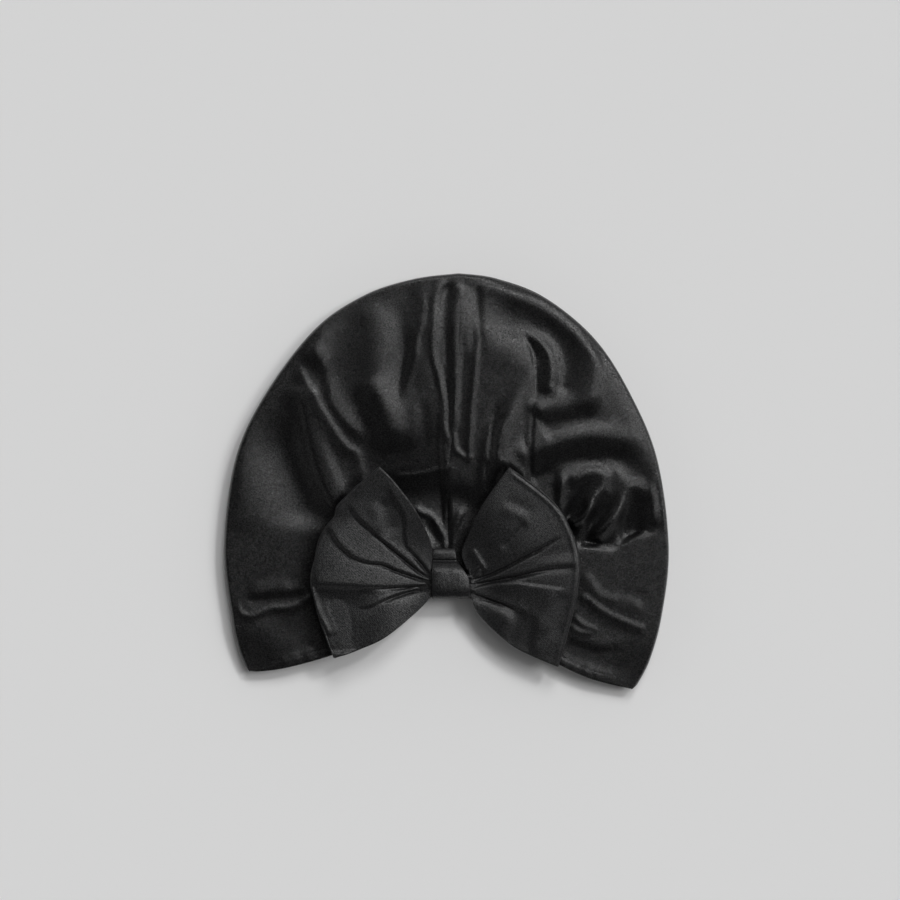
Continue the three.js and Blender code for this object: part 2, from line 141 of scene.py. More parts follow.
# A fold of cloth. Someone who walks its path has the fall on the right: the cloth drops by twice the fall
# across the path within about the width, on a ridge (or, below zero, a valley) as high as the rise. It dies
# away over the left and right reaches, which are alike where only the left one is given, and over the
# shares of the path named by ends. Its size grows from start times the given one to the full one along the
# path. A power of 2 makes it round and 1 makes it sharp.
Fold = namedtuple(
    "Fold", "name path left right fall rise width ends start power",
    defaults=(None, 0, 0, 1, (0.3, 0.3), 1, 2),
)
FOLD_EDGE = 8
ROUND_FOLD_REACH = 2.6
SHARP_FOLD_REACH = 5.2
CROWN_FOLDS = [
    Fold("left_shoulder", fall=2.5, rise=-1.4, width=13, left=24, right=18, ends=(0.18, 0.45), start=1.3,
         power=4,
         path=[(-97, -33), (-99, -16), (-104, -2), (-109, 14), (-110, 32), (-106, 52)]),
    Fold("left_ridge", fall=1, rise=0.7, width=5, left=24, right=10, ends=(0.12, 0.03),
         path=[(-97, 58), (-92, 45), (-89, 32), (-86.5, 20), (-83, 8), (-79, -3), (-73.5, -13), (-68, -21),
               (-63, -28)]),
    Fold("left_ridge_edge", fall=0.6, rise=0.4, width=1.5, left=18, right=3, ends=(0.15, 0.05),
         path=[(-92, 56), (-86.5, 40), (-83.5, 26), (-80.5, 13), (-77.5, 3), (-73, -7), (-66, -18)]),
    Fold("left_inner", fall=0.6, width=3.5, left=4, right=6, ends=(0.1, 0.5),
         path=[(-58, -11), (-63, -2), (-67, 7), (-71, 17), (-76, 32)]),
    Fold("left_crease", fall=0.35, rise=0.6, width=0.9, left=6, right=2.4, ends=(0.04, 0.1),
         path=[(-48, -6), (-49.5, 3), (-51, 13), (-53, 17.5), (-59, 21.5), (-64, 28), (-69, 36), (-74, 44),
               (-78, 52), (-82, 58), (-86, 66), (-89, 72)]),
    Fold("left_band", fall=0.2, rise=0.8, width=2, left=4, right=5, ends=(0.25, 0.15),
         path=[(-42, 18), (-46.5, 23), (-49, 26.5), (-53, 30), (-58.5, 35), (-64, 42), (-68, 50), (-70, 60),
               (-73.5, 70), (-80, 80), (-84, 86)]),
    Fold("left_top", fall=1.8, rise=1.8, width=7, left=9, right=22, ends=(0.35, 0.05),
         path=[(-77, 64), (-75, 80), (-71, 94), (-68, 106)]),
    Fold("left_dark", fall=2.5, rise=1.5, width=8, left=16, right=10, power=3,
         path=[(-54, 61), (-46, 45), (-41, 30), (-38, 14)]),
    Fold("fan_low", fall=1.8, rise=-1.8, width=16, left=22, right=45, ends=(0.5, 0.04), power=4,
         path=[(-80, 20), (-60, 20), (-40, 21), (-20, 22), (-2, 23)]),
    Fold("fan_soft", fall=0.7, width=4, left=5, ends=(0.3, 0.25), power=3,
         path=[(-17, 16), (-16.5, 34), (-17, 50)]),
    Fold("fan_bright", fall=1.8, width=9, left=16, right=9, ends=(0.25, 0.2), power=3,
         path=[(-37, 40), (-35, 55), (-34, 75), (-34, 90), (-36, 112)]),
    Fold("fan_wedge", fall=1.1, width=3.4, left=4.5, right=5, ends=(0.4, 0.3), power=3,
         path=[(-20, 94), (-21, 82), (-22.5, 72), (-26, 58), (-30, 44)]),
    Fold("fan_shade", fall=1.1, width=9, left=10, right=9, ends=(0.15, 0.25), power=3,
         path=[(-17, 120), (-18, 100), (-19, 80), (-21, 52)]),
    Fold("fan_crest", fall=0.25, rise=0.2, width=0.8, left=4, right=3, ends=(0.2, 0.15),
         path=[(-17, 70), (-16.5, 85), (-14, 93), (-12.5, 103), (-13.5, 114)]),
    Fold("seam_left", fall=1.5, rise=0.3, width=3, left=5, right=3.6, ends=(0.04, 0.05), start=0.35,
         power=3,
         path=[(2.5, 21), (1.6, 26), (0.6, 29), (0.3, 35), (0.2, 45), (-2, 57), (-3.6, 65), (-6, 75),
               (-6, 85), (-5.3, 95), (-4.8, 105), (-3, 113), (2, 121)]),
    Fold("seam_dark", fall=1.2, width=3, left=3.6, right=3.4, ends=(0.06, 0.1), start=1.4, power=3,
         path=[(4.5, 119), (2.6, 105), (2, 85), (2.4, 70), (2.8, 55), (2.9, 42), (3, 28)]),
    Fold("seam_crest", fall=0.7, rise=0.2, width=1.3, left=2, right=4, ends=(0.05, 0.03),
         path=[(14, 12), (10, 16), (6.5, 19), (5.5, 25), (4.8, 29), (5.2, 35), (6, 45), (6.7, 57),
               (7.8, 70), (8.8, 85), (9.3, 100), (8.8, 122)]),
    Fold("seam_slope", fall=1.8, width=6, left=5, right=6, ends=(0.4, 0.1), power=4,
         path=[(14, 70), (14.5, 95), (14, 118)]),
    Fold("seam_right", fall=0.6, rise=0.5, width=1.2, left=2.4, right=4, ends=(0.05, 0.2),
         path=[(15, 10), (14.5, 20), (15, 28), (16, 45), (17, 55), (18, 65), (19, 78), (19.5, 85),
               (18.5, 95), (17, 106)]),
    Fold("hook_top", fall=1.9, rise=-1.3, width=8, left=16, right=7, ends=(0.3, 0.35), power=3,
         path=[(54, 64), (51, 74), (45, 81), (36, 85), (20, 88)]),
    Fold("hook_body", fall=0.8, rise=2.2, width=5, left=4, right=6.5, ends=(0.1, 0.6), start=2,
         path=[(33, -6), (33, 10), (34, 24), (37.5, 36), (41.5, 46), (45, 54), (48.5, 62), (49.5, 72)]),
    Fold("hook_root", fall=0.5, rise=0.2, width=0.9, left=3, right=2, ends=(0.1, 0.2),
         path=[(26, 10), (24.5, 19), (26.5, 27), (30, 35), (36, 44)]),
    Fold("pleat_edge", fall=1, rise=-1, width=0.9, left=2, right=9, ends=(0.2, 0.35), power=1,
         path=[(52.5, 42), (52.3, 60), (51.8, 68), (50.5, 77), (46, 86), (40, 90.5)]),
    Fold("pleat_line", fall=0.45, rise=-0.2, width=0.5, left=3, right=1.5, ends=(0.15, 0.05),
         path=[(52.5, 58), (52.5, 40), (51.5, 25), (51, -8)]),
    Fold("pleat_bright", fall=0.5, rise=-0.5, width=1.2, left=3, ends=(0.1, 0.3),
         path=[(48, 4), (48, 15), (45, 25), (46, 38), (47, 48)]),
    Fold("outer_hook_root", rise=1.8, left=5, right=4.5, ends=(0.2, 0.8),
         path=[(53, 38), (56, 43), (59.5, 49), (63, 55), (66, 62)]),
    Fold("outer_hook", fall=0.2, rise=1.5, width=2, left=6, right=4, ends=(0.15, 0.35),
         path=[(60, 50), (63.5, 57), (65, 66), (64, 74), (60.5, 81), (55, 86), (47, 89.5)]),
    Fold("shoulder", fall=3.6, width=12, left=14, right=14.5, ends=(0.25, 0.12), power=7,
         path=[(15, 108), (30, 107), (45, 104.5), (58, 100), (67.5, 93), (74.5, 84.5), (78.5, 73),
               (79.5, 62), (78, 52), (73, 43)]),
    Fold("right_above", fall=1.4, rise=-0.8, width=7, left=9, right=10, ends=(0.14, 0.4), power=4,
         path=[(54, 32), (64, 37), (78, 40.5), (100, 45.5)]),
    Fold("right_under", fall=2.6, rise=-0.9, width=8, left=13, right=11, ends=(0.08, 0.3), power=4,
         path=[(44, 6), (54, 10.5), (62, 13.5), (70, 16.5), (78, 18.5), (88, 19.5), (98, 19), (112, 16),
               (124, 13)]),
    Fold("right_low_dark", fall=1.2, rise=-1.2, width=6, left=5, right=18, ends=(0.1, 0.25), power=3,
         path=[(46, 2), (58, 3), (70, 3)]),
    Fold("loop", fall=0.7, width=3, left=4.5, ends=(0.1, 0.2), power=3,
         path=[(94, -6), (96.5, 0), (96, 4), (92, 7), (87, 8), (81, 6), (75, 2), (70, -4)]),
    Fold("loop_left", fall=1.6, width=3, left=4, right=5, ends=(0.1, 0.25),
         path=[(70, -24), (70, -12), (71, -2), (73, 4)]),
    Fold("loop_bar", rise=5.5, left=2.6, ends=(0.06, 0.9),
         path=[(74, -27), (81, -22), (85, -17), (87, -11), (92, -5.5), (99, 0)]),
    Fold("loop_pit", rise=-4.5, left=5, right=6, ends=(0.12, 0.85), power=4,
         path=[(69, -34), (76, -21), (80, -12), (84, -4), (90, 5)]),
    Fold("middle_pit", rise=-3.6, left=5, right=5.5, ends=(0.05, 0.8), power=4,
         path=[(86, -39.5), (86.5, -34), (89, -27), (94, -18), (103, -5)]),
    Fold("rib", rise=5, left=3.6, right=4, ends=(0.2, 0.8),
         path=[(85, -38), (90, -32), (95, -27), (100, -22), (104, -15), (106, -8), (111, 3)]),
    Fold("outer_pit", rise=-3.6, left=6.5, right=8, ends=(0.06, 0.75), power=4,
         path=[(112, -34.5), (110, -30), (111, -22), (115, -12), (120, -2)]),
    Fold("right_spread", fall=1.2, width=5, left=6, right=7, ends=(0.25, 0.3),
         path=[(122, -4), (112, 0), (103, 0)]),
    Fold("border_strip", fall=1.1, width=2.4, left=6, right=4, ends=(0.1, 0.3),
         path=[(125, -32), (127, -22), (126.5, -12), (124, 0)]),
    Fold("right_shelf", fall=0.75, rise=-0.75, width=1.6, left=2, right=6, ends=(0.1, 0.04), start=1.6,
         path=[(129, -27), (122, -31), (115, -32), (110, -34), (106, -37), (101, -40.5), (95, -40.5),
               (85, -39.5), (74, -38.5)]),
    Fold("low_ridge_upper", fall=0.2, rise=0.5, width=1.6, left=6, right=2.5, ends=(0.25, 0.1),
         path=[(121, -78), (112, -72), (105, -70), (97, -69), (92, -67), (87, -60), (82, -54)]),
    Fold("low_zone", fall=0.4, width=5, left=8, right=7,
         path=[(123, -72), (110, -75), (96, -73)]),
    Fold("low_ridge", fall=0.15, rise=0.55, width=0.9, left=4, right=1.3, ends=(0.08, 0.06),
         path=[(120, -88.5), (110, -85), (103, -82), (97, -79), (91, -75), (86, -71), (80, -68)]),
    Fold("low_curl", fall=0.2, rise=0.45, left=2.5, right=1.3, ends=(0.2, 0.15),
         path=[(92, -89), (83, -86), (76, -80)]),
    Fold("low_curl_under", fall=0.2, rise=0.4, left=2, right=1.2, ends=(0.2, 0.2),
         path=[(89, -91), (80, -90), (74, -86)]),
    Fold("hem_valley", fall=0.5, width=3, left=7, right=5, ends=(0.1, 0.3),
         path=[(71, -95), (82, -98), (92, -101), (108, -99)]),
    Fold("hem_band", fall=0.8, width=4, left=5, right=8, ends=(0.15, 0.05),
         path=[(113, -120), (100, -116), (90, -113), (80, -110), (68, -105.5)]),
    Fold("left_soft", fall=0.2, rise=0.3, width=2, left=6, right=5, ends=(0.2, 0.3),
         path=[(-92, -60), (-100, -60), (-107, -61), (-120, -62)]),
    Fold("left_pit", fall=0.9, width=3, left=5, right=4.5, ends=(0.15, 0.15),
         path=[(-120, -71), (-108, -69), (-95, -68), (-84, -66)]),
    Fold("left_shelf", fall=0.2, rise=0.6, width=0.9, left=2.8, right=1.5, ends=(0.05, 0.15),
         path=[(-79, -68), (-85, -71), (-90, -74), (-96, -75.5), (-105, -76), (-112, -78.5), (-118, -80.5),
               (-123.5, -78), (-126, -69)]),
    Fold("left_hem", fall=0.7, width=2.6, left=4, right=5, ends=(0.2, 0.3),
         path=[(-78, -99), (-90, -104), (-103, -109)]),
    Fold("left_corner", fall=1.2, width=16, left=16, right=14, ends=(0.2, 0.2),
         path=[(-82, -106), (-100, -94), (-120, -80)]),
    Fold("tuck_left", fall=2, rise=-2, width=8, left=8, right=30, ends=(0.15, 0.03), power=4,
         path=[(-46, -4), (-28, -3), (-12, -2), (1, -1)]),
    Fold("tuck_lip", fall=0.45, rise=0.2, width=0.8, left=2.5, right=3, ends=(0.05, 0.12),
         path=[(1.5, 11.5), (0.3, 9), (-1, 7.9), (-5, 7.5), (-10, 6), (-15, 5), (-22, 4.3), (-31, 3.6)]),
    Fold("tuck_right", fall=1.4, rise=-1.4, width=6, left=8, right=12, ends=(0.03, 0.2),
         path=[(1, -6), (8, -7), (15, -10), (26, -16)]),
    Fold("gather_left", rise=1.2, left=2.4, ends=(0.02, 0.15), start=0.5,
         path=[(-0.8, -41), (-2, -33), (-4, -29), (-6, -25), (-10, -21), (-15, -19), (-21, -15)]),
    Fold("gather_hole", rise=-1.4, left=3.5, ends=(0.2, 0.3),
         path=[(-4, -39), (-9, -32), (-14, -24)]),
    Fold("gather_right", fall=1.6, rise=0.6, width=2.6, left=3, right=4, ends=(0.02, 0.2), start=0.4,
         path=[(4, -43), (5, -32), (8, -24), (11.5, -16)]),
    Fold("cavity", rise=-4, left=3, ends=(0.45, 0.45),
         path=[(36, 11), (31, 3), (27, -6)]),
    Fold("cavity_line", fall=0.4, rise=0.4, width=0.9, left=3, right=2, ends=(0.15, 0.2),
         path=[(26, -9), (23.5, -5), (22.5, 0), (23, 10), (25, 17)]),
    Fold("slit", rise=-1.4, left=1.6, ends=(0.2, 0.3), power=1,
         path=[(29, 13), (27, 25), (29, 38), (33, 47)]),
    Fold("slit_bright", fall=0.5, width=0.9, left=2.5, right=3, ends=(0.15, 0.3),
         path=[(31, 12), (32, 25), (37, 38)]),
]

# The bow's wings seen from above: the lower and upper edges run out from the pinch, and the outer edge
# runs from the lower corner to the upper one.
WING = {
    "left": {
        "lower": [(-9.2, -69), (-20, -80), (-40, -95), (-67.4, -105.5)],
        "upper": [(-9.2, -55), (-8.8, -41), (-13, -29), (-20, -15.5), (-32, 0), (-40.6, 8.4)],
        "outer": [(-67.4, -105.5), (-75.5, -84), (-79.7, -68.5), (-81.2, -62), (-81, -55), (-78.7, -46),
                  (-76.7, -36.5), (-73.8, -30), (-70.8, -25.6), (-67, -21), (-66, -15.8), (-62.5, -11.5),
                  (-58, -7.5), (-54.5, -3.5), (-47.5, 2), (-40.6, 8.4)],
    },
    "right": {
        "lower": [(14.6, -69), (20, -80.5), (40, -98.5), (67, -111)],
        "upper": [(14.2, -57), (10.5, -49), (9.5, -42), (14.5, -30), (20, -18), (25.5, -9), (38, 8)],
        "outer": [(67, -111), (73.5, -88), (79, -64), (79.3, -46), (74, -28), (63, -11.5), (38, 8)],
    },
}

# The loop's opening between its front and back leaves. Its puff follows a stretch of a half wave from
# the pinch to the outer fold, and keeps EDGE_PUFF of its height along the open edges.
LOOP_OPEN = 0.6
LOOP_PUFF = 4.5
PUFF_START = 0.08
PUFF_END = 0.8
EDGE_PUFF = 0.65
LOOP_ROLL = 1.2
WAIST_LIFT = 1.7
WAIST_REACH = 0.3
WING_LIFT = {"left": 7, "right": 2}
WING_LIFT_FROM = 0.1
BACK_LEAF_INSET = 0.04
BACK_LEAF_BLEND = 0.9
BOW_BULGE = 0.5
LEAST_OPEN = 0.5
PLEAT_EDGE = 1.2
BOW_ACROSS = 181
BOW_FRONT_ROWS = 128
BOW_ROLL_ROWS = 8
BOW_BACK_ROWS = 36
BOW_UNDER = (-3, 3)
BOW_UNDER_VALLEY = (0, 14)

BOW_FOLDS = [
    Fold("left_pleat_top", fall=0.35, width=0.5, left=3.2, right=2.6, ends=(0.25, 0.05), start=2.4,
         power=1.5,
         path=[(-36, 0), (-32, -10), (-25.5, -22), (-25, -30), (-24, -38), (-21, -43), (-15, -50),
               (-10, -57)]),
    Fold("left_pleat_upper", fall=0.6, width=0.3, left=3.2, ends=(0.22, 0.03), start=2.6, power=1.5,
         path=[(-59, -13), (-53, -22), (-48, -27), (-45, -30), (-40, -35), (-34, -40), (-28, -45),
               (-22, -50), (-15, -55.5), (-9, -58)]),
    Fold("left_pleat_middle", fall=0.6, width=0.3, left=3.2, right=3.4, ends=(0.2, 0.03), start=2.6,
         power=1.5,
         path=[(-72, -25), (-68, -32), (-64, -38), (-58, -44), (-52, -47.5), (-45, -49.5), (-38, -50.5),
               (-30, -54), (-20, -57.5), (-9, -61)]),
    Fold("left_wedge", fall=0.8, width=1.5, left=5, right=14, ends=(0.06, 0.1), start=1.6, power=1.5,
         path=[(-80, -63), (-70, -63.2), (-55, -64), (-40, -64.5), (-25, -64), (-10, -63)]),
    Fold("left_pleat_lower", fall=0.7, width=0.5, left=2.5, right=4, ends=(0.3, 0.05), power=1.5,
         path=[(-56, -75), (-47, -75.5), (-38, -72), (-30, -69), (-20, -66), (-10, -64.5)]),
    Fold("left_low_tilt", fall=5.6, width=26, left=26, ends=(0.35, 0.1),
         path=[(-44, -60), (-44, -78), (-44, -104)]),
    Fold("left_fold_line", fall=0.7, rise=0.8, width=1.2, left=3, right=7, ends=(0.15, 0.05),
         path=[(-68.5, -94), (-70, -88), (-74, -80), (-77, -72), (-80.5, -63)]),
    Fold("left_upper_patch", fall=1.6, width=5, left=7,
         path=[(-37, -34), (-38, -22), (-41, -10)]),
    Fold("left_lower_patch", fall=0.9, width=4.5, left=6, ends=(0.25, 0.2),
         path=[(-61, -95), (-66, -82), (-71, -69)]),
    Fold("right_thin", rise=-2.6, left=0.8, right=1, ends=(0.03, 0.4), power=1.5,
         path=[(14.6, -60), (25, -56.5), (35, -52), (45, -46.5), (55, -41.5), (65, -36), (73, -31.5)]),
    Fold("right_wedge", fall=0.9, rise=-0.2, width=1.3, left=4, right=3, ends=(0.03, 0.12), start=0.4,
         path=[(14, -63), (25, -60.5), (35, -58.5), (45, -56.5), (55, -54), (65, -52), (79, -50.5)]),
    Fold("right_groove_wedge", rise=-2.6, left=0.9, right=1.1, ends=(0.03, 0.5), power=1.5,
         path=[(14, -63), (25, -60.5), (35, -58.5), (45, -56.5), (55, -54), (65, -52), (75, -50.8)]),
    Fold("right_ridge_line", fall=0.5, rise=0.3, width=0.6, left=6, right=1.2, ends=(0.1, 0.2), power=1.5,
         path=[(71, -64.7), (62, -63.5), (55, -62.5), (48, -61.5), (40, -60.7), (26, -61)]),
    Fold("right_lower", fall=1.2, rise=-0.6, width=1.5, left=4, right=5, ends=(0.03, 0.4), start=0.6,
         path=[(14.8, -68), (25, -71), (35, -74.5), (42, -77.5), (51, -81.5)]),
    Fold("right_groove_lower", rise=-2.4, left=0.8, right=1, ends=(0.03, 0.6), power=1.5,
         path=[(14.8, -68), (25, -71), (35, -74.5), (42, -77.5), (49, -80.5)]),
    Fold("right_crease", rise=-0.9, left=1.6, right=2.4, ends=(0.2, 0.2), power=1,
         path=[(32, -41), (40, -33), (48, -24.5)]),
    Fold("right_high_tilt", fall=2.2, width=24, left=24,
         path=[(62, -38), (42, -18), (24, 0)]),
    Fold("right_upper_patch", fall=0.8, width=3.5, left=5,
         path=[(52, -21), (42, -17), (32, -13)]),
    Fold("right_middle_patch", fall=0.5, width=3.2, left=4, right=5, ends=(0.15, 0.3),
         path=[(79, -44.5), (64, -46), (48, -49)]),
    Fold("right_outer_patch", fall=1, width=5, left=7, ends=(0.3, 0.2),
         path=[(60, -96), (64, -80), (67, -65)]),
    Fold("right_lower_patch", fall=1, width=4, left=6, ends=(0.25, 0.3),
         path=[(35, -99), (38, -88), (41, -77)]),
    Fold("right_lower_dark", fall=0.8, width=3.5, left=6, ends=(0.3, 0.2),
         path=[(53, -77), (52, -90), (50, -104)]),
    Fold("right_edge_line", fall=0.6, width=0.8, left=1.6, right=2, ends=(0.03, 0.03),
         path=[(65.6, -109), (71.9, -88), (77.3, -64), (77.6, -46), (72.5, -28), (61.8, -12.6), (38, 6)]),
    Fold("curl", fall=0.5, rise=0.6, width=1.0, left=4, right=2, ends=(0.1, 0.2),
         path=[(23.5, -54), (22.5, -50.5), (20.5, -47), (18, -43), (15, -39.5)]),
    Fold("curl_slit", rise=-1.3, left=1.1, ends=(0.05, 0.1),
         path=[(14.5, -57.5), (18, -53.5), (20, -52), (21.5, -54), (20.5, -57.5)]),
]

# Sharp grooves run in to the knot along the inner ends of the left wing's pleats. For each pleat: how many
# of the first points of its path the groove leaves out, and the share of its length over which it deepens.
GROOVE_DEPTH = 2.2
GROOVE_REACH = 0.8
GROOVE_END = 0.02
GROOVES = {
    "left_pleat_top": (4, 0.6),
    "left_pleat_upper": (1, 0.45),
    "left_pleat_middle": (2, 0.6),
    "left_wedge": (2, 0.7),
    "left_pleat_lower": (1, 0.5),
}

# The knot: a band round the bow's pinch whose section is given from the side. Its sides run from the bottom
# to the back, where its right side slants in, and it has a low lip behind.
KNOT_SECTION = [
    (-70.6, 14.5), (-69.2, 18.4), (-64, 19.8), (-57, 19.2), (-52.5, 18), (-49.5, 15.6), (-48, 13.4),
    (-46.5, 13.9), (-43, 13.6), (-40.6, 12), (-43, 10.7), (-56, 10.6), (-68.4, 10.6),
]
KNOT_LEFT = [(-71, -8.4), (-60, -8.5), (-48, -8.3), (-40, -7.4)]
KNOT_RIGHT = [(-71, 13.4), (-64, 13.8), (-58, 13), (-53, 10), (-48, 6), (-40, 4.8)]
KNOT_AROUND = 220
KNOT_ACROSS = 61
KNOT_CROWN = 0.9
KNOT_BULGE = 0.45

# The view: straight down on the cap, with the image's middle and width on the surface.
VIEW_MIDDLE = (2.1, 18.3)
VIEW_WIDTH = 540
VIEW_HEIGHT = 2000
VIEW_PLANE = 6
SENSOR = 36

# Light: a wide key of three suns from the upper right and a broad fill from the same side, in a room with
# pale walls and a dim ceiling. The walls end between the two heights of WALL_TOP, shares of straight up.
Sun = namedtuple("Sun", "azimuth elevation spread strength")
SUNS = {
    "key_right": Sun(azimuth=14, elevation=46, spread=22, strength=0.83),
    "key_middle": Sun(azimuth=45, elevation=44, spread=8, strength=0.69),
    "key_top": Sun(azimuth=76, elevation=46, spread=22, strength=0.83),
    "fill": Sun(azimuth=45, elevation=52, spread=64, strength=0.5),
}
CEILING = 0.06
WALLS = 0.8
WALL_TOP = (0.2, 0.45)
FLOOR_SIZE = 6000
FLOOR_COLOUR = (0.815, 0.815, 0.815)
FLOOR_ROUGHNESS = 0.9

# Satin: its colours, and its patches, gloss, sparkle, grain and threads. Noise scales are per metre, thread
# pitches are millimetres, and the depths of the threads are shares of the grain.
Satin = namedtuple("Satin", "colour roughness specular grain sheen")
CROWN_BLACK = (0.003, 0.003, 0.0032)
BOW_BLACK = (0.006, 0.006, 0.0064)
SATINS = {
    "crown_satin_cloth": Satin(CROWN_BLACK, roughness=0.29, specular=0.40, grain=0.16, sheen=0.02),
    "bow_satin_cloth": Satin(BOW_BLACK, roughness=0.36, specular=0.38, grain=0.16, sheen=0.03),
    "knot_satin_cloth": Satin(BOW_BLACK, roughness=0.33, specular=0.38, grain=0.16, sheen=0.03),
    "thread_satin": Satin(BOW_BLACK, roughness=0.5, specular=0.2, grain=0.05, sheen=0.02),
}
PATCHES = {"scale": 45, "detail": 3, "dark": 0.75, "light": 1.25}
GLOSS = {"scale": 220, "detail": 4, "change": 0.04, "reach": 0.2}
SPARKLE = {"scale": 1250, "detail": 1, "share": 0.55, "reach": 0.16}
GRAIN = {"scale": 1100, "detail": 2, "stretch": (1, 0.7, 1)}
THREADS = [{"pitch": 0.5, "axis": "X", "depth": 0.25}, {"pitch": 0.7, "axis": "DIAGONAL", "depth": 0.15}]
THREAD_WANDER = 1.5
THREAD_WANDER_SCALE = 2
SHEEN_ROUGHNESS = 0.45

SIDES = ("left", "right")


# Small helpers
def smooth(low, high, value):
    t = np.clip((value - low) / (high - low), 0, 1)
    return t * t * (3 - 2 * t)


def spline(points, shares, closed=False):
    """Points at shares of the length of a smooth curve through the given ones."""
    p = np.array(points, float)
    n = len(p) if closed else len(p) - 1
    t = np.linspace(0, n, SPLINE_STEPS * n + 1)
    i = np.minimum(t.astype(int), n - 1)
    w = (t - i)[:, None]

    def at(k):
        return p[k % n] if closed else p[np.clip(k, 0, n)]

    before, start, end, after = at(i - 1), at(i), at(i + 1), at(i + 2)
    leave = (end - before) / 2
    arrive = (after - start) / 2
    cubic = 2 * start - 2 * end + leave + arrive
    square = -3 * start + 3 * end - 2 * leave - arrive
    dense = cubic * w**3 + square * w**2 + leave * w + start
    steps = np.linalg.norm(np.diff(dense, axis=0), axis=1)
    length = np.concatenate([[0], np.cumsum(steps)])
    wanted = np.asarray(shares) * length[-1]
    return np.column_stack([np.interp(wanted, length, dense[:, k]) for k in range(p.shape[1])])


def outline(points):
    """A smooth curve through points of an outline."""
    return spline(points, np.linspace(0, 1, OUTLINE_STEPS))


def nearest(line, x, y):
    """Share along a line of points, and the distance to its right (above zero) or left."""
    best = np.full(x.shape, np.inf)
    share = np.zeros(x.shape)
    offset = np.full(x.shape, np.inf)
    for k in range(len(line) - 1):
        ax, ay = line[k]
        rx, ry = line[k + 1] - line[k]
        part = np.clip(((x - ax) * rx + (y - ay) * ry) / (rx * rx + ry * ry), 0, 1)
        dx = x - ax - part * rx
        dy = y - ay - part * ry
        distance = np.hypot(dx, dy)
        closer = distance < best
        best = np.where(closer, distance, best)
        share = np.where(closer, (k + part) / (len(line) - 1), share)
        offset = np.where(closer, np.where(dx * ry - dy * rx > 0, distance, -distance), offset)
    return share, offset


def unit(vectors):
    """Vectors turned into ones of length 1."""
    return vectors / np.maximum(np.linalg.norm(vectors, axis=-1, keepdims=True), 1e-9)


def inside(loop, x, y):
    hit = np.zeros(x.shape, bool)
    for (ax, ay), (bx, by) in zip(loop, np.roll(loop, -1, axis=0)):
        if ay != by:
            hit ^= ((ay > y) != (by > y)) & (x < ax + (bx - ax) * (y - ay) / (by - ay))
    return hit


def rolled_share(inward, roll):
    """Share of its full rise that a rolled edge has at a distance in from the edge."""
    return np.sqrt(np.clip(1 - (1 - np.minimum(1, inward / roll)) ** 2, 0, 1))


# Maps of height over the plan
class HeightMap:
    """Heights on an even raster over the plan, read back between its points."""

    def __init__(self, low, high):
        self.low = np.array(low, float)
        self.x, self.y = np.meshgrid(
            np.arange(low[0], high[0] + MAP_STEP, MAP_STEP), np.arange(low[1], high[1] + MAP_STEP, MAP_STEP)
        )
        self.z = np.zeros(self.x.shape)

    def add_folds(self, folds):
        for fold in folds:
            line = spline(fold.path, np.linspace(0, 1, PATH_STEPS))
            right = fold.left if fold.right is None else fold.right
            reach = SHARP_FOLD_REACH if fold.power < 2 else ROUND_FOLD_REACH
            reach *= max(fold.left, right) * max(1, fold.start)
            low = line.min(0) - reach
            high = line.max(0) + reach
            near = (self.x > low[0]) & (self.x < high[0]) & (self.y > low[1]) & (self.y < high[1])
            share, offset = nearest(line, self.x[near], self.y[near])
            spread = fold.start + (1 - fold.start) * share
            side = np.where(offset > 0, right, fold.left) * spread
            ends = smooth(0, fold.ends[0], share) * smooth(0, fold.ends[1], 1 - share)
            drop = spread * (fold.rise - fold.fall * np.tanh(offset / (fold.width * spread)))
            self.z[near] += ends * np.exp(-(np.abs(offset / side) ** fold.power)) * drop

    def soften(self, size):
        reach = int(np.ceil(3 * size / MAP_STEP))
        kernel = np.exp(-0.5 * (np.arange(-reach, reach + 1) * MAP_STEP / size) ** 2)
        kernel /= kernel.sum()
        for axis in (0, 1):
            padding = [(0, 0), (0, 0)]
            padding[axis] = (reach, reach)
            padded = np.pad(self.z, padding, mode="edge")
            count = self.z.shape[axis]
            parts = [kernel[k] * padded.take(range(k, k + count), axis) for k in range(2 * reach + 1)]
            self.z = sum(parts)

    def at(self, x, y):
        column = np.clip((x - self.low[0]) / MAP_STEP, 0, self.z.shape[1] - 1.001)
        row = np.clip((y - self.low[1]) / MAP_STEP, 0, self.z.shape[0] - 1.001)
        i = row.astype(int)
        j = column.astype(int)
        u = column - j
        v = row - i
        lower = self.z[i, j] * (1 - u) + self.z[i, j + 1] * u
        upper = self.z[i + 1, j] * (1 - u) + self.z[i + 1, j + 1] * u
        return lower * (1 - v) + upper * v


# Meshes
def grid_faces(numbers, closed):
    """Four-sided faces of a grid of point numbers. In a closed loop the last row joins the first."""
    rows = np.concatenate([numbers, numbers[:1]]) if closed else numbers
    faces = np.stack([rows[:-1, :-1], rows[1:, :-1], rows[1:, 1:], rows[:-1, 1:]], axis=-1)
    return faces.reshape(-1, 4).tolist()


def strip_faces(first, second):
    """Triangles between two lines of point numbers of different counts."""
    faces = []
    i = j = 0
    while i < len(first) - 1 or j < len(second) - 1:
        along_first = (i + 1) / (len(first) - 1)
        along_second = (j + 1) / (len(second) - 1)
        if j == len(second) - 1 or (i < len(first) - 1 and along_first <= along_second):
            faces.append((first[i], first[i + 1], second[j]))
            i += 1
        else:
            faces.append((first[i], second[j + 1], second[j]))
            j += 1
    return faces


def grid_normals(points, closed):
    """Unit normals of a grid of points, turned so that the rows' direction leads the columns'."""
    if closed:
        along = np.roll(points, -1, axis=0) - np.roll(points, 1, axis=0)
    else:
        along = np.gradient(points, axis=0)
    return unit(np.cross(along, np.gradient(points, axis=1)))


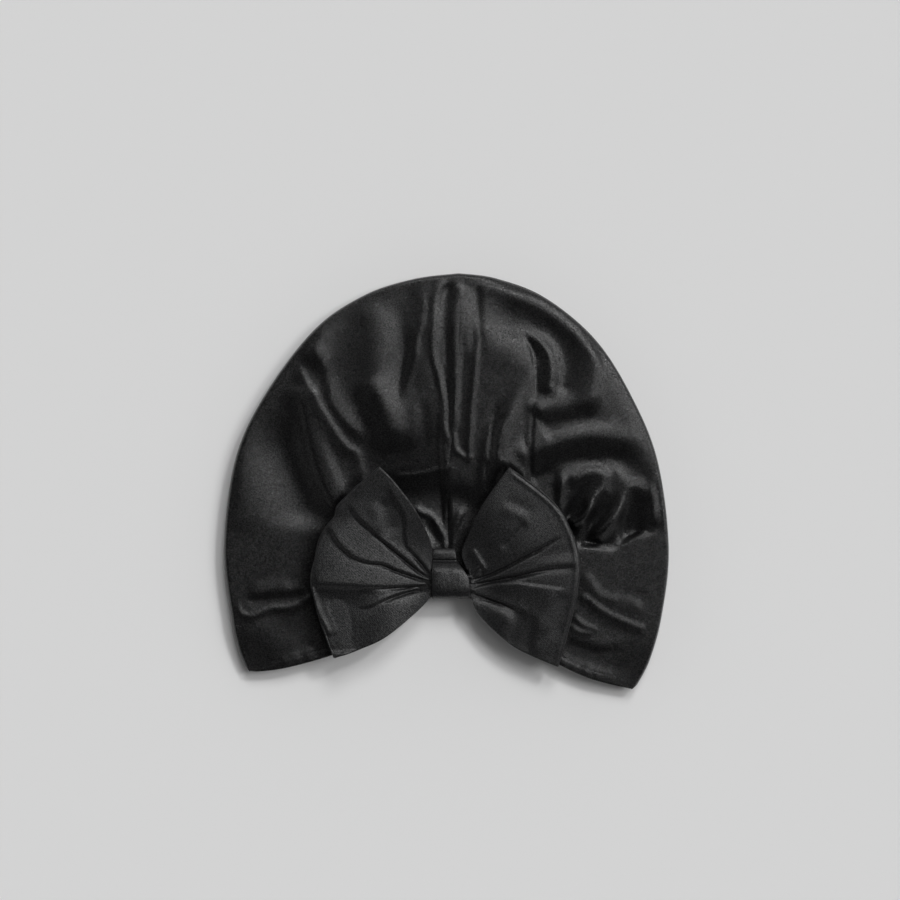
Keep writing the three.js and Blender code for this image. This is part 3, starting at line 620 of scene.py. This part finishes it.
def side_line(grid, side, inward=0):
    """The line of a grid along one of its sides, or some lines inward of it."""
    end, direction = side.split("_")
    lines = grid if direction == "row" else np.swapaxes(grid, 0, 1)
    return lines[inward if end == "first" else -1 - inward]


def cloth_wall(name, outer, thickness, closed, bulges, material):
    """A closed wall of cloth behind an outer grid of points, with sides rounded by their bulges."""
    outward = grid_normals(outer, closed)
    inner = (outer - outward * np.asarray(thickness)[..., None])[::INNER_STEP, ::INNER_STEP]
    points = [outer.reshape(-1, 3), inner.reshape(-1, 3)]
    outer_numbers = np.arange(outer[..., 0].size).reshape(outer.shape[:2])
    inner_numbers = outer[..., 0].size + np.arange(inner[..., 0].size).reshape(inner.shape[:2])
    faces = grid_faces(outer_numbers, closed) + grid_faces(inner_numbers, closed)
    count = outer[..., 0].size + inner[..., 0].size
    edge_numbers = {}
    for side, bulge in bulges.items():
        rim = side_line(inner, side)
        front = side_line(outer, side)[::INNER_STEP]
        behind = side_line(outer, side, 1)[::INNER_STEP]
        points.append((rim + front) / 2 + unit(front - behind) * bulge)
        edge_numbers[side] = count + np.arange(len(rim))
        count += len(rim)
    for side, numbers in edge_numbers.items():
        lines = [side_line(outer_numbers, side), numbers, side_line(inner_numbers, side)]
        if closed:
            lines = [np.append(line, line[0]) for line in lines]
        faces += strip_faces(lines[0].tolist(), lines[1].tolist())
        faces += strip_faces(lines[1].tolist(), lines[2].tolist())
    if not closed:
        faces += corner_faces(outer_numbers, inner_numbers, edge_numbers)
    return mesh_piece(name, np.concatenate(points), faces, material)


def corner_faces(outer, inner, edges):
    """The small faces that close a wall's four corners between its rounded sides."""
    faces = []
    for row, row_side in ((0, "first_row"), (-1, "last_row")):
        for column, column_side in ((0, "first_column"), (-1, "last_column")):
            along_row = int(edges[row_side][column])
            along_column = int(edges[column_side][row])
            faces.append((int(outer[row, column]), along_row, along_column))
            faces.append((int(inner[row, column]), along_column, along_row))
    return faces


def mesh_piece(name, points, faces, material):
    mesh = bpy.data.meshes.new(name)
    mesh.from_pydata((points * MM).tolist(), [], faces)
    mesh.validate()
    work = bmesh.new()
    work.from_mesh(mesh)
    bmesh.ops.recalc_face_normals(work, faces=work.faces)
    work.to_mesh(mesh)
    work.free()
    mesh.shade_smooth()
    mesh.set_sharp_from_angle(angle=SHARP_ANGLE)
    mesh.materials.append(material)
    piece = bpy.data.objects.new(name, mesh)
    bpy.context.scene.collection.objects.link(piece)
    return piece


# Plans
def wing_outline(wing):
    edges = [wing["lower"], wing["outer"], wing["upper"][::-1]]
    return np.concatenate([outline(points)[:-1] for points in edges])


def depth_under_bow(x, y):
    """How deep inside the outlines of the wings and the knot a point lies, below zero outside."""
    knot = np.array([(knot_x, knot_y) for knot_y, knot_x in KNOT_LEFT + KNOT_RIGHT[::-1]], float)
    depth = np.full(x.shape, -np.inf)
    for loop, step in ((wing_outline(WING["left"]), 2), (wing_outline(WING["right"]), 2), (knot, 1)):
        closed = np.concatenate([loop, loop[:1]])[::step]
        distance = np.abs(nearest(closed, x, y)[1])
        depth = np.maximum(depth, np.where(inside(loop, x, y), distance, -distance))
    return depth


# Crown
def crown_top(x, y):
    """Height of the crown's smooth front above the surface, without its folds."""
    across = (x - PUFF["x"]) / PUFF["half_width"]
    along = (y - PUFF["y"]) / PUFF["half_length"]
    return EDGE_HEIGHT + EDGE_RISE + PUFF["rise"] * np.exp(-((across**2 + along**2) ** 2))


def crown_relief():
    """The crown's folds, which sink away under the bow."""
    relief = HeightMap(*CROWN_MAP)
    relief.add_folds(CROWN_FOLDS)
    relief.soften(CROWN_SOFTNESS)
    depth = depth_under_bow(relief.x, relief.y)
    ridges = np.maximum(relief.z, 0) * (1 - smooth(*BOW_UNDER, depth))
    valleys = np.minimum(relief.z, 0) * (1 - smooth(*BOW_UNDER_VALLEY, depth))
    relief.z = ridges + valleys
    return relief


def corner_taper(side, x, y):
    corner_x, corner_y = EDGE[side][-1]
    return smooth(0, CORNER_TAPER, np.hypot(x - corner_x, y - corner_y))


def rim_shape(x, y, line):
    """How far the cloth dips along the hem: a rounded rim, sunk stitches and the puckers beside them."""
    share, offset = nearest(line, x, y)
    distance = np.abs(offset)
    run = share * np.linalg.norm(np.diff(line, axis=0), axis=1).sum()
    rounded = RIM_ROUND * (1 - rolled_share(distance, RIM_ROUND_WIDTH))
    stitched = STITCH_DIP * np.exp(-(((distance - STITCH_INSET) / STITCH_DIP_WIDTH) ** 2))
    waves = [row["share"] * np.sin(2 * math.pi * run / row["pitch"] + row["phase"]) for row in PUCKER_WAVES]
    pucker = PUCKER_RISE * sum(waves) * np.exp(-(((distance - STITCH_INSET) / PUCKER_WIDTH) ** 2))
    return rounded + stitched + pucker


def front_height(side, relief, x, y):
    """Height of a crown panel's front over a point of the plan."""
    away = np.abs(nearest(outline(EDGE[side]), x, y)[1])
    from_seam = np.abs(nearest(outline(SEAM), x, y)[1])
    taper = corner_taper(side, x, y)
    stand = EDGE_RISE * (CORNER_STAND + (1 - CORNER_STAND) * taper)
    bevelled = EDGE_BEVEL_SHARE * smooth(*EDGE_BEVEL_FROM_X, x) * smooth(*EDGE_BEVEL_FROM_Y, y)
    bevel = np.sin(math.pi / 2 * np.minimum(1, away / EDGE_BEVEL))
    rolled = (1 - bevelled) * rolled_share(away, EDGE_ROLL) + bevelled * bevel
    puff = smooth(0, PUFF_FADE, away) * (crown_top(x, y) - EDGE_HEIGHT - EDGE_RISE)
    folds = smooth(0, FOLD_EDGE, away) * relief.at(x, y)
    groove = SEAM_DIP * np.exp(-((from_seam / SEAM_WIDTH) ** 2)) * smooth(0, SEAM_FADE, away)
    hem = rim_shape(x, y, outline(RIM[side])) * taper
    return EDGE_HEIGHT + stand * rolled + taper * (puff + folds) - groove - hem


def seam_bend(y):
    """How far the centre seam lies to the right of a straight line between its ends."""
    line = outline(SEAM)[::-1]
    straight = np.interp(y, [SEAM[-1][1], SEAM[0][1]], [SEAM[-1][0], SEAM[0][0]])
    return np.interp(y, line[:, 1], line[:, 0]) - straight


def stations(length, flat_rows):
    """How far each row of a column lies in from the rolled edge, from the rim to the edge."""
    roll = np.minimum(ROLL_ZONE, ROLL_MOST * length)
    rim = [length * (1 - np.minimum(RIM_STATION_MOST, distance / length)) for distance in RIM_STATIONS]
    start = rim[-1]
    flat = [start + (roll - start) * (i + 1) / flat_rows for i in range(flat_rows)]
    turn = [math.pi / 2 * (1 - (i + 1) / ROLL_ROWS) for i in range(ROLL_ROWS)]
    rolled = [roll * (1 - math.cos(angle)) for angle in turn]
    return np.array(rim + flat + rolled)


def crown_panel(side, relief, material):
    """One half of the crown: a wall from the front rim over the side edge to the back rim."""
    shares = np.linspace(0, LAST_COLUMN, COLUMNS)
    edge = spline(EDGE[side], shares)
    rim = spline(RIM[side], shares)
    back = rim + np.column_stack([np.zeros(COLUMNS), BACK_RIM_RISE * (1 - shares)])
    shift = SEAM_GAP / 2 * (1 - smooth(0, SEAM_GAP_REACH, shares)) * (1 if side == "right" else -1)

    def plan(inner_end, flat_rows):
        length = np.linalg.norm(inner_end - edge, axis=1)
        inward = stations(length, flat_rows)
        return edge + (inner_end - edge) * (inward / length)[..., None], inward

    front_plan, _ = plan(rim, FRONT_ROWS)
    bend = seam_bend(front_plan[..., 1]) * (1 - smooth(0, SEAM_REACH, shares))
    front_z = front_height(side, relief, front_plan[..., 0] + bend, front_plan[..., 1])
    back_plan, back_inward = plan(back, BACK_ROWS)
    back_z = EDGE_HEIGHT * (1 - rolled_share(back_inward, BACK_ROLL))
    front = np.dstack([front_plan, front_z])
    behind = np.dstack([back_plan, back_z])[::-1][1:]
    outer = np.concatenate([front, behind])
    outer[..., 0] += shift + seam_bend(outer[..., 1]) * (1 - smooth(0, SEAM_REACH, shares))
    if side == "right":
        outer = outer[:, ::-1]
    front_rim = np.abs(nearest(rim, outer[..., 0], outer[..., 1])[1])
    thickness = CLOTH + HEM_EXTRA * (1 - smooth(HEM_WIDTH - HEM_STEP, HEM_WIDTH, front_rim))
    bulges = {"first_row": FRONT_RIM_BULGE, "last_row": BACK_RIM_BULGE, "first_column": 0, "last_column": 0}
    piece = cloth_wall("crown_cloth_" + side, outer, thickness, False, bulges, material)
    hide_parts("crown_panel_" + side)
    return piece


# Bow
def wing_plan(wing, along, across):
    """Plan points of a wing: along runs out from the pinch, across from the lower edge to the upper."""
    along = np.asarray(along, float)
    lower = spline(wing["lower"], along)[:, None]
    upper = spline(wing["upper"], along)[:, None]
    outer = spline(wing["outer"], across)[None]
    a = along[:, None, None]
    c = np.asarray(across)[None, :, None]
    near = np.array(wing["lower"][0]) * (1 - c) + np.array(wing["upper"][0]) * c
    far = np.array(wing["lower"][-1]) * (1 - c) + np.array(wing["upper"][-1]) * c
    edges = lower * (1 - c) + upper * c
    ends = near * (1 - a) + outer * a
    return edges + ends - (near * (1 - a) + far * a)


def wing_leaf(wing, raised, relief, along, front):
    """One leaf of a wing, with a rolled outer fold."""
    across = np.linspace(0, 1, BOW_ACROSS)
    inset = across if front else BACK_LEAF_INSET + (1 - 2 * BACK_LEAF_INSET) * across
    blend = smooth(BACK_LEAF_BLEND, 1, np.asarray(along))[:, None]
    plan = wing_plan(wing, along, inset)
    plan += (wing_plan(wing, along, across) - plan) * blend[..., None]
    x = plan[..., 0]
    y = plan[..., 1]
    span = np.linalg.norm(wing_plan(wing, [1], across)[0] - wing_plan(wing, [0], across)[0], axis=1)
    inward = (1 - np.asarray(along))[:, None] * span[None]
    share = np.asarray(along)[:, None]
    low = crown_top(x, y) + LIE_GAP + WAIST_LIFT * (1 - smooth(0, WAIST_REACH, share))
    low = low + raised * smooth(WING_LIFT_FROM, 1, share)
    wave = PUFF_START + (PUFF_END - PUFF_START) * share
    swell = np.sin(math.pi * wave) - math.sin(math.pi * PUFF_START)
    crowned = EDGE_PUFF + (1 - EDGE_PUFF) * np.sin(math.pi * across)[None]
    opening = LOOP_OPEN + LOOP_PUFF * swell * crowned
    lift = relief.at(x, y) * smooth(0, PLEAT_EDGE, inward)
    high = low + 2 * BOW_CLOTH + np.maximum(LEAST_OPEN, opening + lift)
    middle = (low + high) / 2
    half = (high - low) / 2 * rolled_share(inward, LOOP_ROLL)
    return np.dstack([x, y, middle + half if front else middle - half])


def groove(fold, leaves_out, deepens):
    """The sharp groove along the inner end of a pleat."""
    return Fold(
        fold.name + "_groove", rise=-GROOVE_DEPTH, left=GROOVE_REACH, ends=(deepens, GROOVE_END),
        power=fold.power, path=fold.path[leaves_out:],
    )


def bow_loop(material):
    """One closed band of cloth: along the front leaves from tip to tip, and back along the back leaves."""
    relief = HeightMap(*BOW_MAP)
    relief.add_folds(BOW_FOLDS)
    relief.add_folds([groove(fold, *GROOVES[fold.name]) for fold in BOW_FOLDS if fold.name in GROOVES])
    relief.soften(BOW_SOFTNESS)
    parts = {}
    for side in SIDES:
        wing = WING[side]
        span = np.linalg.norm(wing_plan(wing, [1], [0.5])[0, 0] - wing_plan(wing, [0], [0.5])[0, 0])
        roll_start = 1 - LOOP_ROLL / span
        turn = math.pi / 2 * (np.arange(BOW_ROLL_ROWS) + 1) / (BOW_ROLL_ROWS + 1)
        rolled = 1 - LOOP_ROLL * (1 - np.sin(turn)) / span
        front = np.concatenate([np.linspace(0, roll_start, BOW_FRONT_ROWS), rolled])
        back = np.concatenate([np.linspace(0, roll_start, BOW_BACK_ROWS), rolled])
        parts[side, "front"] = wing_leaf(wing, WING_LIFT[side], relief, front, True)
        parts[side, "tip"] = wing_leaf(wing, WING_LIFT[side], relief, [1.0], True)
        parts[side, "back"] = wing_leaf(wing, WING_LIFT[side], relief, back, False)
    loop = [
        parts["left", "tip"],
        parts["left", "front"][::-1],
        parts["right", "front"],
        parts["right", "tip"],
        parts["right", "back"][::-1],
        parts["left", "back"],
    ]
    outer = np.concatenate(loop)
    bulges = {"first_column": BOW_BULGE, "last_column": BOW_BULGE}
    thickness = np.full(outer.shape[:2], BOW_CLOTH)
    piece = cloth_wall("bow_cloth", outer, thickness, True, bulges, material)
    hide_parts("bow_loop")
    return piece


# Knot
def bow_knot(material):
    """The band round the bow's pinch, with a lip behind it."""
    around = np.arange(KNOT_AROUND) / KNOT_AROUND
    section = spline(KNOT_SECTION, around, closed=True)
    across = np.linspace(-1, 1, KNOT_ACROSS)
    y = np.repeat(section[:, :1], KNOT_ACROSS, axis=1)
    z = np.repeat(section[:, 1:], KNOT_ACROSS, axis=1)
    lowest = section[:, 1].min()
    height = ((section[:, 1] - lowest) / (section[:, 1].max() - lowest))[:, None]
    sides = [np.interp(section[:, 0], *zip(*rows))[:, None] for rows in (KNOT_LEFT, KNOT_RIGHT)]
    x = sides[0] + (sides[1] - sides[0]) * (across[None] + 1) / 2
    z = z - KNOT_CROWN * height * across[None] ** 4
    outer = np.dstack([np.broadcast_to(x, y.shape), y, z])[:, ::-1]
    bulges = {"first_column": KNOT_BULGE, "last_column": KNOT_BULGE}
    thickness = np.full(outer.shape[:2], KNOT_CLOTH)
    piece = cloth_wall("knot_cloth", outer, thickness, True, bulges, material)
    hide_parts("bow_knot")
    return piece


# Stitches
def stitch(start, end):
    """Points and faces of a short thread that arches between two points, with round ends."""
    side = unit(np.cross(end - start, (0, 0, 1)))
    up = unit(np.cross(side, end - start))
    t = np.linspace(0, 1, STITCH_RINGS)[:, None, None]
    angle = (2 * math.pi * np.arange(STITCH_SIDES) / STITCH_SIDES)[:, None]
    size = STITCH_RADIUS * np.sqrt(np.maximum(STITCH_END, 1 - (2 * t - 1) ** 4))
    centre = start + (end - start) * t + up * STITCH_RADIUS * (np.sin(math.pi * t) - STITCH_SINK)
    points = centre + size * (np.cos(angle) * side + np.sin(angle) * up)
    numbers = np.arange(STITCH_RINGS * STITCH_SIDES).reshape(STITCH_RINGS, STITCH_SIDES)
    return points.reshape(-1, 3), grid_faces(numbers.T, True) + numbers[[0, -1]].tolist()


def hem_stitches(side, relief, material):
    """A row of sewn stitches along a panel's front hem."""
    line = spline(RIM[side], np.linspace(*STITCH_SPAN, OUTLINE_STEPS))
    tangent = unit(np.gradient(line, axis=0))
    inward = np.column_stack([-tangent[:, 1], tangent[:, 0]]) * (-1 if side == "left" else 1)
    row = line + inward * STITCH_INSET
    run = np.concatenate([[0], np.cumsum(np.linalg.norm(np.diff(row, axis=0), axis=1))])
    starts = np.arange(0, run[-1] - STITCH_LENGTH, STITCH_PITCH)

    def on_cloth(distance):
        x = np.interp(distance, run, row[:, 0])
        y = np.interp(distance, run, row[:, 1])
        return np.column_stack([x, y, front_height(side, relief, x, y) + STITCH_RADIUS * STITCH_SINK])

    points = []
    faces = []
    for start, end in zip(on_cloth(starts), on_cloth(starts + STITCH_LENGTH)):
        thread, thread_faces = stitch(start, end)
        faces += [[len(thread) * len(points) + k for k in face] for face in thread_faces]
        points.append(thread)
    piece = mesh_piece("hem_stitches_" + side, np.concatenate(points), faces, material)
    return piece


# Materials
def set_inputs(node, values):
    for socket, value in values.items():
        node.inputs[socket].default_value = value


def satin(name, look):
    """Black satin: a fine weave, a soft grain and a gloss that varies a little over the cloth."""
    material = bpy.data.materials.new(name)
    material.use_nodes = True
    nodes = material.node_tree.nodes
    links = material.node_tree.links
    shader = nodes["Principled BSDF"]
    set_inputs(shader, {"Sheen Weight": look.sheen, "Sheen Roughness": SHEEN_ROUGHNESS})
    place = nodes.new("ShaderNodeTexCoord")

    def noise(settings):
        mapping = nodes.new("ShaderNodeMapping")
        set_inputs(mapping, {"Scale": settings.get("stretch", (1, 1, 1))})
        texture = nodes.new("ShaderNodeTexNoise")
        set_inputs(texture, {"Scale": settings["scale"], "Detail": settings["detail"]})
        links.new(place.outputs["Object"], mapping.inputs["Vector"])
        links.new(mapping.outputs["Vector"], texture.inputs["Vector"])
        return texture.outputs["Fac"]

    def threads(pitch, axis):
        wave = nodes.new("ShaderNodeTexWave")
        wave.bands_direction = axis
        set_inputs(wave, {"Scale": math.pi / (10 * pitch * MM)})
        set_inputs(wave, {"Distortion": THREAD_WANDER, "Detail Scale": THREAD_WANDER_SCALE})
        links.new(place.outputs["Object"], wave.inputs["Vector"])
        return wave.outputs["Fac"]

    def spread(settings, middle):
        ramp = nodes.new("ShaderNodeMapRange")
        change = settings.get("change", middle * settings.get("share", 0))
        set_inputs(ramp, {"From Min": 0.5 - settings["reach"], "From Max": 0.5 + settings["reach"]})
        set_inputs(ramp, {"To Min": middle - change, "To Max": middle + change})
        links.new(noise(settings), ramp.inputs["Value"])
        return ramp.outputs["Result"]

    tint = nodes.new("ShaderNodeMix")
    tint.data_type = "RGBA"
    for socket, share in (("A", PATCHES["dark"]), ("B", PATCHES["light"])):
        set_inputs(tint, {socket: (*[share * c for c in look.colour], 1)})
    links.new(noise(PATCHES), tint.inputs["Factor"])
    links.new(tint.outputs["Result"], shader.inputs["Base Color"])
    links.new(spread(GLOSS, look.roughness), shader.inputs["Roughness"])
    links.new(spread(SPARKLE, look.specular), shader.inputs["Specular IOR Level"])

    def bump(source, depth, before=None):
        node = nodes.new("ShaderNodeBump")
        set_inputs(node, {"Strength": 1, "Distance": depth * MM})
        links.new(source, node.inputs["Height"])
        if before is not None:
            links.new(before, node.inputs["Normal"])
        return node.outputs["Normal"]

    normal = bump(noise(GRAIN), look.grain)
    for row in THREADS:
        normal = bump(threads(row["pitch"], row["axis"]), row["depth"] * look.grain, normal)
    links.new(normal, shader.inputs["Normal"])
    return material


def floor_material():
    material = bpy.data.materials.new("pale_surface")
    material.use_nodes = True
    shader = material.node_tree.nodes["Principled BSDF"]
    set_inputs(shader, {"Base Color": (*FLOOR_COLOUR, 1), "Roughness": FLOOR_ROUGHNESS})
    set_inputs(shader, {"Specular IOR Level": 0})
    return material


# Stage
def pale_floor():
    half = FLOOR_SIZE / 2 * MM
    mesh = bpy.data.meshes.new("floor")
    corners = [(-half, -half, 0), (half, -half, 0), (half, half, 0), (-half, half, 0)]
    mesh.from_pydata(corners, [], [(0, 1, 2, 3)])
    mesh.materials.append(floor_material())
    floor = bpy.data.objects.new("floor", mesh)
    bpy.context.scene.collection.objects.link(floor)


def suns():
    for name, sun in SUNS.items():
        lamp = bpy.data.lights.new(name, "SUN")
        lamp.energy = sun.strength
        lamp.angle = math.radians(sun.spread)
        light = bpy.data.objects.new(name, lamp)
        light.rotation_euler = (0, math.radians(90 - sun.elevation), math.radians(sun.azimuth))
        bpy.context.scene.collection.objects.link(light)


def room():
    """Light from all round: pale walls that fade into a dim ceiling."""
    world = bpy.data.worlds.new("surround")
    world.use_nodes = True
    nodes = world.node_tree.nodes
    links = world.node_tree.links
    place = nodes.new("ShaderNodeTexCoord")
    split = nodes.new("ShaderNodeSeparateXYZ")
    fade = nodes.new("ShaderNodeMapRange")
    set_inputs(fade, {"From Min": WALL_TOP[0], "From Max": WALL_TOP[1], "To Min": WALLS, "To Max": CEILING})
    links.new(place.outputs["Generated"], split.inputs["Vector"])
    links.new(split.outputs["Z"], fade.inputs["Value"])
    set_inputs(nodes["Background"], {"Color": (1, 1, 1, 1)})
    links.new(fade.outputs["Result"], nodes["Background"].inputs["Strength"])
    bpy.context.scene.world = world
    bpy.context.scene.view_settings.view_transform = "Standard"


def camera():
    data = bpy.data.cameras.new("camera")
    data.sensor_width = SENSOR
    data.lens = SENSOR * (VIEW_HEIGHT - VIEW_PLANE) / VIEW_WIDTH
    view = bpy.data.objects.new("camera", data)
    view.location = (VIEW_MIDDLE[0] * MM, VIEW_MIDDLE[1] * MM, VIEW_HEIGHT * MM)
    bpy.context.scene.collection.objects.link(view)
    bpy.context.scene.camera = view


camera()
suns()
room()
pale_floor()
cloths = {name: satin(name, look) for name, look in SATINS.items()}
crown_map = crown_relief()
pieces = [crown_panel(side, crown_map, cloths["crown_satin_cloth"]) for side in SIDES]
pieces += [hem_stitches(side, crown_map, cloths["thread_satin"]) for side in SIDES]
pieces += [bow_loop(cloths["bow_satin_cloth"]), bow_knot(cloths["knot_satin_cloth"])]
for piece in pieces:
    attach(piece, "root")
